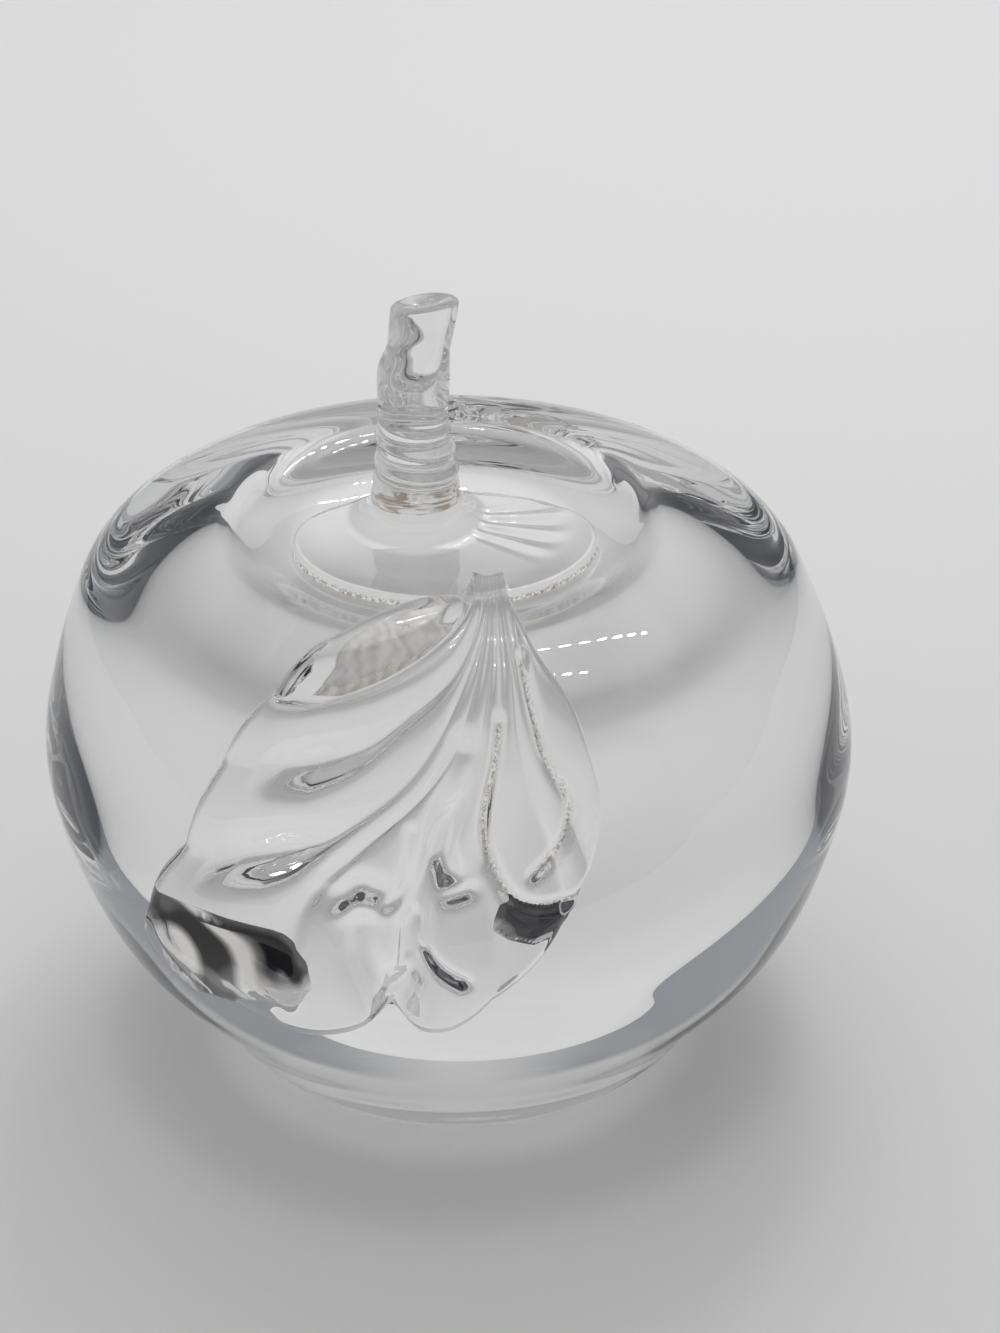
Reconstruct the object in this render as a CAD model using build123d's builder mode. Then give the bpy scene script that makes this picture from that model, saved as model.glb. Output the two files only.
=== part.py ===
"""Solid clear glass apple with a hot-joined stem and a pressed leaf.

Millimetres, +Z up. The origin is the middle of the ground flat that the apple stands on,
and the leaf hangs down the front, which is -Y.
"""
from build123d import *
from math import cos, radians, sin
import os

# The apple: one solid gather with a broad flat shoulder, a shallow dimple and a ground base
apple_width = 90
apple_height = 65
base_width = 45
crown_width = 49.5
dimple_depth = 4.2
base_ease = 0.6
skin_steps = 24

# Side of the apple from the base up: (share of the swell beyond the base, share of the height)
side_shares = [
    (0.22, 0.06), (0.43, 0.16), (0.74, 0.30), (0.92, 0.45), (1.00, 0.60),
    (0.92, 0.75), (0.80, 0.87), (0.63, 0.95),
]
# Dimple from the crown inwards: (share of half the crown's width, share of the dimple's depth)
dimple_shares = [(0.85, 0.18), (0.70, 0.67), (0.50, 0.94), (0.30, 0.99)]

# The stem: a thin oval foot that ran out in the dimple, and a pulled stalk that flares into it
foot_width = 33.6
foot_depth = 23.5
foot_thickness = 1.8
foot_x = 0.4
foot_y = 1.0
stem_x = -3.8
stem_y = 7.0
stem_height = 23.8
stem_width = 8.2
stem_lean = 3.0
lip_width = 8.8
lip_round = 1.2
flare_width = 20
flare_height = 7
flare_sink = 3.5
waist_share = 0.62

# The leaf: pressed thin enough to drape over the shoulder, with flutes fanning from its neck
leaf_width = 46
leaf_length = 51.5
leaf_thickness = 4.5
leaf_tilt = 40
neck_x = 3.5
neck_lap = 4
edge_round = 1.2

# Edge of the leaf, run by run: (share of its width from the neck, share of its length down)
left_edge_shares = [
    (-0.03, 0.00), (-0.09, 0.10), (-0.21, 0.13), (-0.33, 0.20), (-0.53, 0.37),
    (-0.66, 0.55), (-0.75, 0.70), (-0.76, 0.74),
]
curled_end_shares = [(-0.76, 0.74), (-0.75, 0.80), (-0.69, 0.86), (-0.59, 0.92), (-0.46, 0.99), (-0.29, 0.97)]
middle_lobe_shares = [(-0.29, 0.97), (-0.24, 0.98), (-0.15, 1.00), (-0.04, 0.97), (0.04, 0.90)]
lower_lobe_shares = [(0.04, 0.90), (0.11, 0.86), (0.17, 0.79), (0.19, 0.73)]
right_lobe_shares = [
    (0.19, 0.73), (0.23, 0.65), (0.25, 0.55), (0.22, 0.41), (0.17, 0.30), (0.09, 0.17), (0.05, 0.00),
]
leaf_edge_shares = [left_edge_shares, curled_end_shares, middle_lobe_shares, lower_lobe_shares, right_lobe_shares]

# Creases between the flutes: a round valley follows each line, sinks in and runs out again
crease_depth = 2.3
crease_round = 2.4
drawn_height = 3
search_share = 0.00001
# Line by line: (share of the leaf's width, share of its length down, share of the depth)
crease_shares = [
    [(-0.05, 0.20, -0.30), (-0.14, 0.28, 0.40), (-0.27, 0.33, 0.80), (-0.39, 0.35, 1.00), (-0.49, 0.33, -0.30)],
    [(-0.07, 0.32, -0.30), (-0.17, 0.41, 0.30), (-0.28, 0.47, 0.70), (-0.42, 0.50, 1.00), (-0.53, 0.48, -0.30)],
    [(-0.18, 0.54, -0.30), (-0.29, 0.61, 0.30), (-0.40, 0.65, 0.80), (-0.52, 0.67, 1.00), (-0.64, 0.63, -0.30)],
    [(-0.13, 0.52, -0.30), (-0.24, 0.61, 0.40), (-0.33, 0.69, 0.60), (-0.40, 0.76, 0.40), (-0.44, 0.86, -0.30)],
    [(-0.02, 0.46, -0.30), (-0.09, 0.61, 0.50), (-0.15, 0.75, 0.90), (-0.17, 0.90, 1.00), (-0.22, 1.06, 1.00)],
    [(0.02, 0.38, -0.30), (0.01, 0.55, 0.50), (0.00, 0.70, 0.80), (0.02, 0.86, 1.00), (0.00, 1.04, 1.00)],
    [(0.05, 0.26, -0.30), (0.07, 0.43, 0.40), (0.11, 0.58, 0.70), (0.16, 0.73, 0.90), (0.18, 0.88, 1.00)],
    [(0.08, 0.28, -0.30), (0.12, 0.43, 0.30), (0.16, 0.56, 0.50), (0.21, 0.66, 0.70), (0.26, 0.78, 0.80)],
]

half_width = apple_width / 2
half_base = base_width / 2
half_crown = crown_width / 2
swell = half_width - half_base
dimple_floor = apple_height - dimple_depth

side_points = [(half_base + swell * across, apple_height * up) for across, up in side_shares]
dimple_points = [(half_crown * across, apple_height - dimple_depth * down) for across, down in dimple_shares]

with BuildSketch(Plane.XZ) as apple_section:
    with BuildLine():
        floor_line = Line((0, 0), (half_base - base_ease, 0))
        ease_line = Line(floor_line @ 1, (half_base, base_ease / 2))
        skin = Spline(ease_line @ 1, *side_points, (half_crown, apple_height), *dimple_points, (0, dimple_floor))
        Line(skin @ 1, (0, 0))
    make_face()

with BuildPart() as apple_body:
    add(apple_section.sketch)
    revolve(axis=Axis.Z)
apple_body.part.label = "apple_body"


def grown_section(amount):
    """Right half of the apple's section, its skin moved outwards by an even amount."""
    moved = []
    for step in range(skin_steps + 1):
        along = skin % (step / skin_steps)
        moved.append(skin @ (step / skin_steps) + Vector(along.Y, -along.X) * amount)
    moved[-1] = Vector(0, moved[-1].Y)
    with BuildSketch(Plane.XZ) as grown:
        with BuildLine():
            Line((0, 0), (half_base, 0))
            Line((half_base, 0), moved[0])
            Spline(*moved)
            Line(moved[-1], (0, 0))
        make_face()
    return grown.sketch


# The foot is an oval cut out of a skin of even thickness that lies on the dimple
foot_plane = Plane.XY.offset(dimple_floor - dimple_depth)
with BuildPart() as foot_skin:
    add(grown_section(foot_thickness))
    revolve(axis=Axis.Z)
    with BuildSketch(foot_plane) as foot_oval:
        with Locations((foot_x, foot_y)):
            Ellipse(foot_width / 2, foot_depth / 2)
    extrude(amount=apple_height, mode=Mode.INTERSECT)

# The stalk stands in its own leaning plane, with its profile drawn from the dimple's floor up
lean = radians(stem_lean)
stem_base = (stem_x, stem_y, dimple_floor)
stem_axis = Axis(stem_base, (sin(lean), 0, cos(lean)))
stem_plane = Plane(origin=stem_base, x_dir=(cos(lean), 0, -sin(lean)), z_dir=(0, -1, 0))
stem_top = dimple_depth + stem_height
waist = stem_top * waist_share

with BuildPart() as stem:
    with BuildSketch(stem_plane):
        with BuildLine():
            sunk = Line((0, -flare_sink), (flare_width / 2, -flare_sink))
            rise = Line(sunk @ 1, (flare_width / 2, 0))
            flare = Spline(
                rise @ 1,
                (stem_width / 2, flare_height),
                tangents=[(-1, 0), (0, 1)],
            )
            stalk = Spline(
                flare @ 1,
                (stem_width / 2, waist),
                (lip_width / 2, stem_top - lip_round),
                tangents=[(0, 1), (0, 1)],
            )
            lip = RadiusArc(stalk @ 1, (lip_width / 2 - lip_round, stem_top), -lip_round)
            Line(lip @ 1, (0, stem_top))
            Line((0, stem_top), (0, -flare_sink))
        make_face()
    revolve(axis=stem_axis)
    add(foot_skin.part)
    add(apple_body.part, mode=Mode.SUBTRACT)
stem.part.label = "stem"

# The leaf is drawn on a plane that faces it, through its neck on the front edge of the foot
tilt = radians(leaf_tilt)
neck_y = foot_y - foot_depth / 2 + neck_lap
leaf_plane = Plane(
    origin=(neck_x, neck_y, apple_height),
    x_dir=(1, 0, 0),
    z_dir=(0, -cos(tilt), sin(tilt)),
)


def on_leaf(across, down):
    """Point of the leaf's drawing, from shares of its width and length."""
    return (leaf_width * across, -leaf_length * down)


def leaf_blank(amount):
    """Everything under the apple's skin grown by an amount."""
    with BuildPart() as blank:
        add(grown_section(amount))
        revolve(axis=Axis.Z)
    return blank.part


def above_skin(across, down, height):
    """Point that stands on the apple's skin where a spot of the leaf's drawing is seen, at a height."""
    spot = leaf_plane.from_local_coords(on_leaf(across, down))
    level = spot.Y * sin(tilt) + spot.Z * cos(tilt)
    low, high = 0.0, 1.0
    while high - low > search_share:
        middle = (low + high) / 2
        along = skin % middle
        out, up = along.Y, -along.X
        radius = (skin @ middle).X + out * drawn_height
        depth = max(radius ** 2 - spot.X ** 2, 0) ** 0.5
        if ((skin @ middle).Y + up * drawn_height) * cos(tilt) - depth * sin(tilt) > level:
            high = middle
        else:
            low = middle
    more = height - drawn_height
    reach = 1 + out * more / radius
    return (spot.X * reach, -depth * reach, (skin @ middle).Y + up * height)


with BuildPart() as creases:
    for line_shares in crease_shares:
        with BuildLine() as crease_path:
            Spline(*[
                above_skin(across, down, leaf_thickness + crease_round - crease_depth * sunk_share)
                for across, down, sunk_share in line_shares
            ])
        with BuildSketch(Plane(origin=crease_path.line @ 0, z_dir=crease_path.line % 0)):
            Circle(crease_round)
        sweep(path=crease_path.line)

with BuildPart() as leaf:
    with BuildSketch(leaf_plane.offset(-leaf_thickness)):
        with BuildLine():
            for run_shares in leaf_edge_shares:
                Spline(*[on_leaf(across, down) for across, down in run_shares])
            Line(on_leaf(*right_lobe_shares[-1]), on_leaf(*left_edge_shares[0]))
        make_face()
    extrude(amount=half_width)
    add(leaf_blank(leaf_thickness), mode=Mode.INTERSECT)
    add(apple_body.part, mode=Mode.SUBTRACT)
    outer_skin = leaf.faces().sort_by(Axis(leaf_plane.origin, leaf_plane.z_dir))[-1]
    fillet(outer_skin.edges(), radius=edge_round)
    add(stem.part, mode=Mode.SUBTRACT)
    add(creases.part, mode=Mode.SUBTRACT)
leaf.part.label = "leaf"

os.makedirs("parts", exist_ok=True)
export_step(apple_body.part, "parts/apple_body.step")
export_step(stem.part, "parts/stem.step")
export_step(leaf.part, "parts/leaf.step")

for piece in (apple_body, stem, leaf):
    size = piece.part.bounding_box().size
    print(piece.part.label, len(piece.part.solids()), "solid,", round(piece.part.volume), "mm3,",
          round(size.X, 1), round(size.Y, 1), round(size.Z, 1))
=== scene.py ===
# %% [markdown]
# A solid glass apple, with its stem and its pressed leaf.
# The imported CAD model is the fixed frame: it gives the true sizes and the places of the pieces.
# Clear glass has no colour of its own to hide behind. What the eye sees is how the surface bends the
# light of the room, so each piece is made as one smooth closed skin, on the same sizes as the frame.

# %% Load the frame
import math

import bpy
import numpy as np
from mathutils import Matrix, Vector


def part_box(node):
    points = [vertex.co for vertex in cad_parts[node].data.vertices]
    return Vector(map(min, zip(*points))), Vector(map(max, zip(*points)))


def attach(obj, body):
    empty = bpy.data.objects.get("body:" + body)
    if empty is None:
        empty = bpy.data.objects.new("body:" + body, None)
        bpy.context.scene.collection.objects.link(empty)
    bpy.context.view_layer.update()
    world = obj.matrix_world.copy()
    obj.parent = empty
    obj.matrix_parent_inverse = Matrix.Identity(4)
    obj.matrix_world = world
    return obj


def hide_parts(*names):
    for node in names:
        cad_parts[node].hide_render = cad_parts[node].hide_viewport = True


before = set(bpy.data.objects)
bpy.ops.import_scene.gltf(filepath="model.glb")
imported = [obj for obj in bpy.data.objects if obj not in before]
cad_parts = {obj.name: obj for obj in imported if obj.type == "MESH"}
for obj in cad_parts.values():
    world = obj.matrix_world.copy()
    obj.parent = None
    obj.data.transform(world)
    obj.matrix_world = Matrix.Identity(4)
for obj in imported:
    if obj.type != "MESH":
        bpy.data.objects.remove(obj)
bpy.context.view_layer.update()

body_low, body_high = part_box("apple_body")
stem_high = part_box("stem")[1]

# %% [markdown]
# Sizes are written in millimetres, as on a maker's bench, and each mesh is scaled to metres once,
# when it is made. The apple's width and height come from the frame.

# %% Driving sizes
MM = 0.001
apple_width = round((body_high.x - body_low.x) / MM)
apple_height = round(body_high.z / MM)
stem_top = stem_high.z / MM
base_width = 45
base_ease = 0.6
crown_width = 49.5
dimple_depth = 4.2
hand_lean = 0.03
side_shares = [
    (0.22, 0.06), (0.43, 0.16), (0.74, 0.30), (0.92, 0.45), (1.00, 0.60),
    (0.92, 0.75), (0.80, 0.87), (0.63, 0.95),
]
dimple_shares = [(0.85, 0.18), (0.70, 0.67), (0.50, 0.94), (0.30, 0.99)]
widest_height = apple_height * side_shares[4][1]
print("apple", apple_width, "wide,", apple_height, "high; stem to", round(stem_top, 1))


# %% [markdown]
# A hand-made outline is known at a few places only, and the skin between them is fair and smooth.
# A cubic spline gives that: it passes through every chosen point and has no kink, which matters in
# glass, because a kink in the slope shows as a hard line in the refraction.

# %% A fair curve through a few points
def fair_curve(points, count, start=None, end=None):
    """Points along a smooth curve through the given ones; start and end may fix the slopes."""
    points = np.array(points, float)
    steps = np.linalg.norm(np.diff(points, axis=0), axis=1) ** 0.5
    knots = np.concatenate([[0], np.cumsum(steps)])
    size = len(points)
    matrix = np.zeros((size, size))
    right = np.zeros_like(points)
    for k in range(1, size - 1):
        before, after = steps[k - 1], steps[k]
        matrix[k, k - 1:k + 2] = after, 2 * (before + after), before
        rise_before, rise_after = points[k] - points[k - 1], points[k + 1] - points[k]
        right[k] = 3 * (after * rise_before / before + before * rise_after / after)
    for row, slope, near in ((0, start, 1), (size - 1, end, size - 2)):
        matrix[row, row] = 1 if slope is not None else 2
        if slope is not None:
            length = np.linalg.norm(points[near] - points[row]) / abs(knots[near] - knots[row])
            right[row] = np.array(slope, float) / np.linalg.norm(slope) * length
        else:
            matrix[row, near] = 1
            right[row] = 3 * (points[near] - points[row]) / (knots[near] - knots[row])
    slopes = np.linalg.solve(matrix, right)
    along = np.linspace(0, knots[-1], count)
    span = np.clip(np.searchsorted(knots, along, side="right") - 1, 0, size - 2)
    width = (knots[span + 1] - knots[span])[:, None]
    t = (along - knots[span])[:, None] / width
    first, last = points[span], points[span + 1]
    lift = t * t * (3 - 2 * t)
    leave = t * (1 - t) ** 2 * width
    arrive = -t * t * (1 - t) * width
    return first + (last - first) * lift + slopes[span] * leave + slopes[span + 1] * arrive


def even_curve(points, count, **slopes):
    """The same curve, with its points spaced evenly along it."""
    fine = fair_curve(points, 60 * len(points), **slopes)
    length = np.concatenate([[0], np.cumsum(np.linalg.norm(np.diff(fine, axis=0), axis=1))])
    even = np.linspace(0, length[-1], count)
    return np.column_stack([np.interp(even, length, column) for column in fine.T])


def smooth_step(value, low, high):
    """0 below low, 1 above high, and an easy curve between."""
    t = np.clip((value - low) / (high - low), 0, 1)
    return t * t * (3 - 2 * t)


# %% [markdown]
# The apple's skin is one outline turned round the middle. The outline runs from the edge of the
# ground flat, up the side, over the crown and down into the dimple. It is kept as a table of fine
# points, because the stem's foot and the leaf have to be laid on exactly the same skin.

# %% The outline of the skin
half_width, half_base, half_crown = apple_width / 2, base_width / 2, crown_width / 2
swell = half_width - half_base
outline_points = [(half_base, base_ease / 2)]
outline_points += [(half_base + swell * across, apple_height * up) for across, up in side_shares]
outline_points += [(half_crown, apple_height)]
outline_points += [(half_crown * across, apple_height - dimple_depth * down)
                   for across, down in dimple_shares]
outline_points += [(0, apple_height - dimple_depth)]
skin_line = even_curve(outline_points, 4001, end=(-1, 0))
skin_length = np.linspace(0, 1, len(skin_line))
skin_slope = np.gradient(skin_line, skin_length, axis=0)
crown_place = int(np.argmax(skin_line[:, 1]))
print("crown at radius", round(skin_line[crown_place, 0], 2), "height", round(skin_line[crown_place, 1], 2))


def dimple_height(radius):
    """Height of the skin inside the crown, at a distance from the middle."""
    inner = skin_line[crown_place:][::-1]
    return np.interp(radius, inner[:, 0], inner[:, 1])


def lean(points):
    """The whole apple leans a little, as a shape worked by hand does."""
    moved = np.array(points, float)
    moved[:, 0] -= hand_lean * (moved[:, 2] - widest_height)
    return moved


# %% [markdown]
# The finishes, the body of the apple and the room are all made of nodes. Three helpers keep their
# code short: one feeds a socket, one adds a node with its inputs, and one does arithmetic.

# %% Helpers for nodes
def feed(tree, socket, value):
    """Set a socket to a value, or wire another node's output to it."""
    if isinstance(value, bpy.types.NodeSocket):
        tree.links.new(value, socket)
    else:
        socket.default_value = value


def node(tree, kind, inputs=None, **settings):
    """A new node, with some of its settings changed and some of its inputs fed."""
    made = tree.nodes.new(kind)
    for key, value in settings.items():
        setattr(made, key, value)
    for key, value in (inputs or {}).items():
        feed(tree, made.inputs[key], value)
    return made


def maths(tree, operation, *values):
    """The result of a math node; each value is a number or another node's output."""
    return node(tree, "ShaderNodeMath", dict(enumerate(values)), operation=operation).outputs[0]


def new_material(name, values):
    """A material, its tree and its shader, with the shader's own values set."""
    material = bpy.data.materials.new(name)
    material.use_nodes = True
    tree = material.node_tree
    shader = tree.nodes["Principled BSDF"]
    for key, value in values.items():
        shader.inputs[key].default_value = value
    return material, tree, shader


# %% [markdown]
# Crystal is what every skin is made of. It has no colour to speak of, so the shader only needs full
# transmission and the refraction index of crystal. A very shallow noise bends its skin a little, as
# hand work does, and old dust browns the corners that no cloth reaches: the mesh says where.

# %% Crystal
crystal_index = 1.52
dust_colour = (0.22, 0.15, 0.10, 1)
dust_grain = 0.35 * MM
ripple_depth = 0.02 * MM


def clear_glass(name, tint, ripple_size):
    """Polished crystal with faint waves in its skin, and dust where the piece says so."""
    material, tree, shader = new_material(
        name, {"Transmission Weight": 1, "IOR": crystal_index, "Roughness": 0})
    place = node(tree, "ShaderNodeTexCoord").outputs["Object"]
    dust = node(tree, "ShaderNodeAttribute", attribute_name="dust").outputs["Fac"]
    grains = node(tree, "ShaderNodeTexNoise", {"Vector": place, "Scale": 1 / dust_grain, "Detail": 3})
    patches = node(tree, "ShaderNodeMapRange", {
        "Value": grains.outputs["Fac"], "From Min": 0.42, "From Max": 0.58})
    amount = maths(tree, "MULTIPLY", dust, patches.outputs[0])
    colour = node(tree, "ShaderNodeMix", {
        "Factor": amount, "A": (*tint, 1), "B": dust_colour}, data_type="RGBA")
    feed(tree, shader.inputs["Base Color"], colour.outputs["Result"])
    waves = node(tree, "ShaderNodeTexNoise", {
        "Vector": place, "Scale": 1 / (ripple_size * MM), "Detail": 1})
    bump = node(tree, "ShaderNodeBump", {
        "Strength": 1, "Distance": ripple_depth, "Height": waves.outputs["Fac"]})
    feed(tree, shader.inputs["Normal"], bump.outputs["Normal"])
    return material


body_crystal = clear_glass("body_crystal", (0.985, 0.985, 0.985), ripple_size=14)
stem_crystal = clear_glass("stem_crystal", (0.985, 0.985, 0.98), ripple_size=5)
leaf_crystal = clear_glass("leaf_crystal", (0.985, 0.98, 0.975), ripple_size=5)
print("crystal, refraction index", crystal_index)

# %% [markdown]
# Weld is for the places where two gathers were joined hot: there is no skin between them any more,
# so light must go straight through. Giving both touching faces the refraction index of air does
# exactly that, and each piece can still be a closed solid of its own.
# Two more finishes are seen through the leaf, on its underside. One is the brown film of dust that dried in
# bands under the first flute. The other is a painted reflection and painted shade: the dark of the room
# that the curled tip throws back is painted as a dark mirror in streaks, mixed into the crystal as far as
# the mesh says.

# %% Weld, dusty glass and shaded glass
def banded(tree, shader, waves, tones, **settings):
    """Wavy bands across a piece as the finish's colours; each tone is a place and a colour."""
    place = node(tree, "ShaderNodeTexCoord").outputs["Object"]
    bands = node(tree, "ShaderNodeTexWave", {"Vector": place, **waves}, **settings)
    ramp = node(tree, "ShaderNodeValToRGB", {"Fac": bands.outputs["Fac"]})
    elements = ramp.color_ramp.elements
    for k, (position, colour) in enumerate(tones):
        element = elements[k] if k < 2 else elements.new(position)
        element.position = position
        element.color = (*colour, 1)
    feed(tree, shader.inputs["Base Color"], ramp.outputs["Color"])


weld, _, _ = new_material(
    "weld", {"Transmission Weight": 1, "IOR": 1, "Roughness": 0, "Base Color": (1, 1, 1, 1)})

dusty_crystal, dusty_tree, dusty_shader = new_material(
    "dusty_crystal", {"Transmission Weight": 0.75, "IOR": crystal_index, "Roughness": 0.25})
banded(dusty_tree, dusty_shader,
       {"Scale": 1 / (5 * MM), "Distortion": 9, "Detail": 3, "Detail Scale": 1.6},
       ((0, (0.66, 0.58, 0.49)), (1, (0.95, 0.93, 0.90))))

# Painted shade and painted reflection: dark metallic streaks stand for the dark room mirrored in the curled
# tip.
painted_shade_crystal, painted_shade_tree, painted_shade_shader = new_material(
    "painted_shade_crystal", {"Transmission Weight": 1, "IOR": crystal_index, "Roughness": 0.04})
shade_share = node(painted_shade_tree, "ShaderNodeAttribute", attribute_name="shade")
feed(painted_shade_tree, painted_shade_shader.inputs["Metallic"], shade_share.outputs["Fac"])
banded(painted_shade_tree, painted_shade_shader,
       {"Scale": 1 / (22 * MM), "Distortion": 9, "Detail": 1, "Detail Scale": 1.4},
       ((0.50, (0.02, 0.02, 0.022)), (0.72, (0.30, 0.29, 0.28)), (0.93, (0.95, 0.94, 0.92))),
       bands_direction="DIAGONAL")
print("finishes:", [material.name for material in bpy.data.materials])


# %% [markdown]
# Every piece goes from points and faces to a mesh in the same way: scaled to metres, shaded
# smooth, with its faces turned outwards and its object left at the origin.

# %% From points to a piece
def add_piece(name, points, faces, materials):
    """A closed mesh at its place in the frame, shaded smooth."""
    mesh = bpy.data.meshes.new(name)
    mesh.from_pydata((lean(points) * MM).tolist(), [], faces)
    mesh.validate()
    for polygon in mesh.polygons:
        polygon.use_smooth = True
    for material in materials:
        mesh.materials.append(material)
    piece = bpy.data.objects.new(name, mesh)
    bpy.context.scene.collection.objects.link(piece)
    bpy.context.view_layer.update()
    return piece


def set_share(piece, name, values):
    """Keep a share from 0 to 1 on every point of a piece, for its finish to read."""
    shares = piece.data.attributes.new(name, "FLOAT", "POINT")
    shares.data.foreach_set("value", np.asarray(values, np.float32))


def signed_volume(piece):
    """Volume of a closed mesh in cubic metres; it is negative when the faces point inwards."""
    mesh = piece.data
    mesh.calc_loop_triangles()
    corners = np.array([
        [mesh.vertices[v].co for v in triangle.vertices] for triangle in mesh.loop_triangles])
    return float(np.sum(corners[:, 0] * np.cross(corners[:, 1], corners[:, 2])) / 6)


def open_edges(piece):
    """How many edges of a mesh don't have exactly two faces; a closed skin has none."""
    edges = np.empty(len(piece.data.loops), dtype=np.int64)
    piece.data.loops.foreach_get("edge_index", edges)
    return int(np.sum(np.bincount(edges, minlength=len(piece.data.edges)) != 2))


def report_piece(piece):
    """Print what a finished piece measures."""
    print(piece.name, len(piece.data.polygons), "faces, open edges", open_edges(piece),
          "volume", round(signed_volume(piece) * 1e6, 2), "cm3")


def ring_faces(rows, turns):
    """Faces between rings of points; a row with one point is a closed end."""
    faces = []
    for low, high in zip(rows, rows[1:]):
        for k in range(turns):
            after = (k + 1) % turns
            corners = [low[k], low[after], high[after], high[k]]
            faces.append([c for place, c in enumerate(corners) if c != corners[place - 1]])
    return faces


# %% [markdown]
# The apple. A turned solid is a main shape with a rule, so a geometry-nodes tree makes it: a flat
# grid gives rows and columns, each row reads one point of the outline by its number, and the column
# turns that point round the middle. The outline comes in as the modifier's own geometry. At the end
# the seam and the two poles are merged, so that the skin is closed.

# %% A tree that turns an outline
seam_reach = 0.0005


def turning_tree():
    """Outline points in, turned skin out."""
    tree = bpy.data.node_groups.new("turned_skin", "GeometryNodeTree")
    for name, kind in (("Geometry", "Geometry"), ("Rings", "Int"), ("Turns", "Int"),
        ("Finish", "Material")):
        tree.interface.new_socket(name, in_out="INPUT", socket_type="NodeSocket" + kind)
    tree.interface.new_socket("Geometry", in_out="OUTPUT", socket_type="NodeSocketGeometry")
    given = node(tree, "NodeGroupInput").outputs
    grid = node(tree, "GeometryNodeMeshGrid", {
        "Size X": 1, "Size Y": 1, "Vertices X": given["Rings"], "Vertices Y": given["Turns"]})
    position = node(tree, "GeometryNodeInputPosition").outputs["Position"]
    where = node(tree, "ShaderNodeSeparateXYZ", {0: position}).outputs
    along = maths(tree, "ADD", where["X"], 0.5)
    last_ring = maths(tree, "SUBTRACT", given["Rings"], 1)
    row = maths(tree, "ROUND", maths(tree, "MULTIPLY", along, last_ring))
    angle = maths(tree, "MULTIPLY", maths(tree, "ADD", where["Y"], 0.5), math.tau)
    read = node(tree, "GeometryNodeSampleIndex", {
        "Geometry": given["Geometry"], "Value": position, "Index": row},
        data_type="FLOAT_VECTOR", domain="POINT")
    point = node(tree, "ShaderNodeSeparateXYZ", {0: read.outputs["Value"]}).outputs
    across = maths(tree, "MULTIPLY", point["X"], maths(tree, "COSINE", angle))
    back = maths(tree, "MULTIPLY", point["X"], maths(tree, "SINE", angle))
    place = node(tree, "ShaderNodeCombineXYZ", {"X": across, "Y": back, "Z": point["Z"]})
    turned = node(tree, "GeometryNodeSetPosition", {
        "Geometry": grid.outputs["Mesh"], "Position": place.outputs[0]})
    joined = node(tree, "GeometryNodeMergeByDistance", {
        "Geometry": turned.outputs["Geometry"], "Distance": seam_reach})
    realized = node(tree, "GeometryNodeRealizeInstances", {"Geometry": joined.outputs["Geometry"]})
    finish = node(tree, "GeometryNodeSetMaterial", {
        "Geometry": realized.outputs["Geometry"], "Material": given["Finish"]})
    node(tree, "NodeGroupOutput", {"Geometry": finish.outputs["Geometry"]})
    return tree


def grown_by_tree(name, start_mesh, tree, values):
    """Run a tree on a mesh and return the plain mesh that it makes, with the modifier gone."""
    holder = bpy.data.objects.new(name + "_start", start_mesh)
    bpy.context.scene.collection.objects.link(holder)
    modifier = holder.modifiers.new("tree", "NODES")
    modifier.node_group = tree
    for item in tree.interface.items_tree:
        if item.in_out == "INPUT" and item.name in values:
            modifier[item.identifier] = values[item.name]
    depsgraph = bpy.context.evaluated_depsgraph_get()
    mesh = bpy.data.meshes.new_from_object(holder.evaluated_get(depsgraph))
    mesh.name = name
    bpy.data.objects.remove(holder)
    return mesh


# %% [markdown]
# The foot of the stem is an oval puddle, and the glass under it is welded. To let the edge of the
# weld be one clean line, the rings of the dimple are pulled a little, so that one of them runs
# exactly along the edge of the foot. The skin itself doesn't move: a point that is shifted sideways
# takes the height that the dimple has there.

# %% The oval of the foot
foot_width = 33.6
foot_depth = 23.5
foot_x = 0.4
foot_y = 1.0
foot_ring_radius = 13.0
calm_radius = 21.5


def foot_edge_radius(angle):
    """Distance from the middle of the apple to the edge of the foot, in one direction."""
    along, across = np.cos(angle), np.sin(angle)
    a, b = foot_width / 2, foot_depth / 2
    square = (along / a) ** 2 + (across / b) ** 2
    half = (foot_x * along / a ** 2) + (foot_y * across / b ** 2)
    rest = (foot_x / a) ** 2 + (foot_y / b) ** 2 - 1
    return (half + np.sqrt(half ** 2 - square * rest)) / square


def pull_rings(points):
    """Shift the dimple's points outwards or inwards, so that one ring is the foot's edge."""
    radius = np.hypot(points[:, 0], points[:, 1])
    inside = (radius < calm_radius) & (points[:, 2] > apple_height / 2) & (radius > 0)
    angle = np.arctan2(points[:, 1], points[:, 0])
    edge = foot_edge_radius(angle)
    inner = radius / foot_ring_radius * edge
    outer = calm_radius - (calm_radius - radius) / (calm_radius - foot_ring_radius) * (calm_radius - edge)
    pulled = np.where(radius <= foot_ring_radius, inner, outer)
    scale = np.where(inside, pulled / np.maximum(radius, 1e-9), 1)
    moved = points.copy()
    moved[:, 0] *= scale
    moved[:, 1] *= scale
    moved[inside, 2] = dimple_height(np.hypot(moved[inside, 0], moved[inside, 1]))
    return moved


# %% [markdown]
# The leaf. A third gather was pressed in a ribbed tool, so it is a fan of thick flutes with creases between
# them, and then laid over the shoulder while it still sagged. Its skin is drawn on a grid: one way runs
# from the neck to the rim along the flutes, the other way goes across them. The lines between the flutes
# are listed, and a height above the apple's skin makes the relief.

# %% The leaf's drawing board
leaf_width = 46
leaf_length = 51.5
leaf_tilt = math.radians(40)
neck_x = 3.5
neck_up = 45.4

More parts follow.
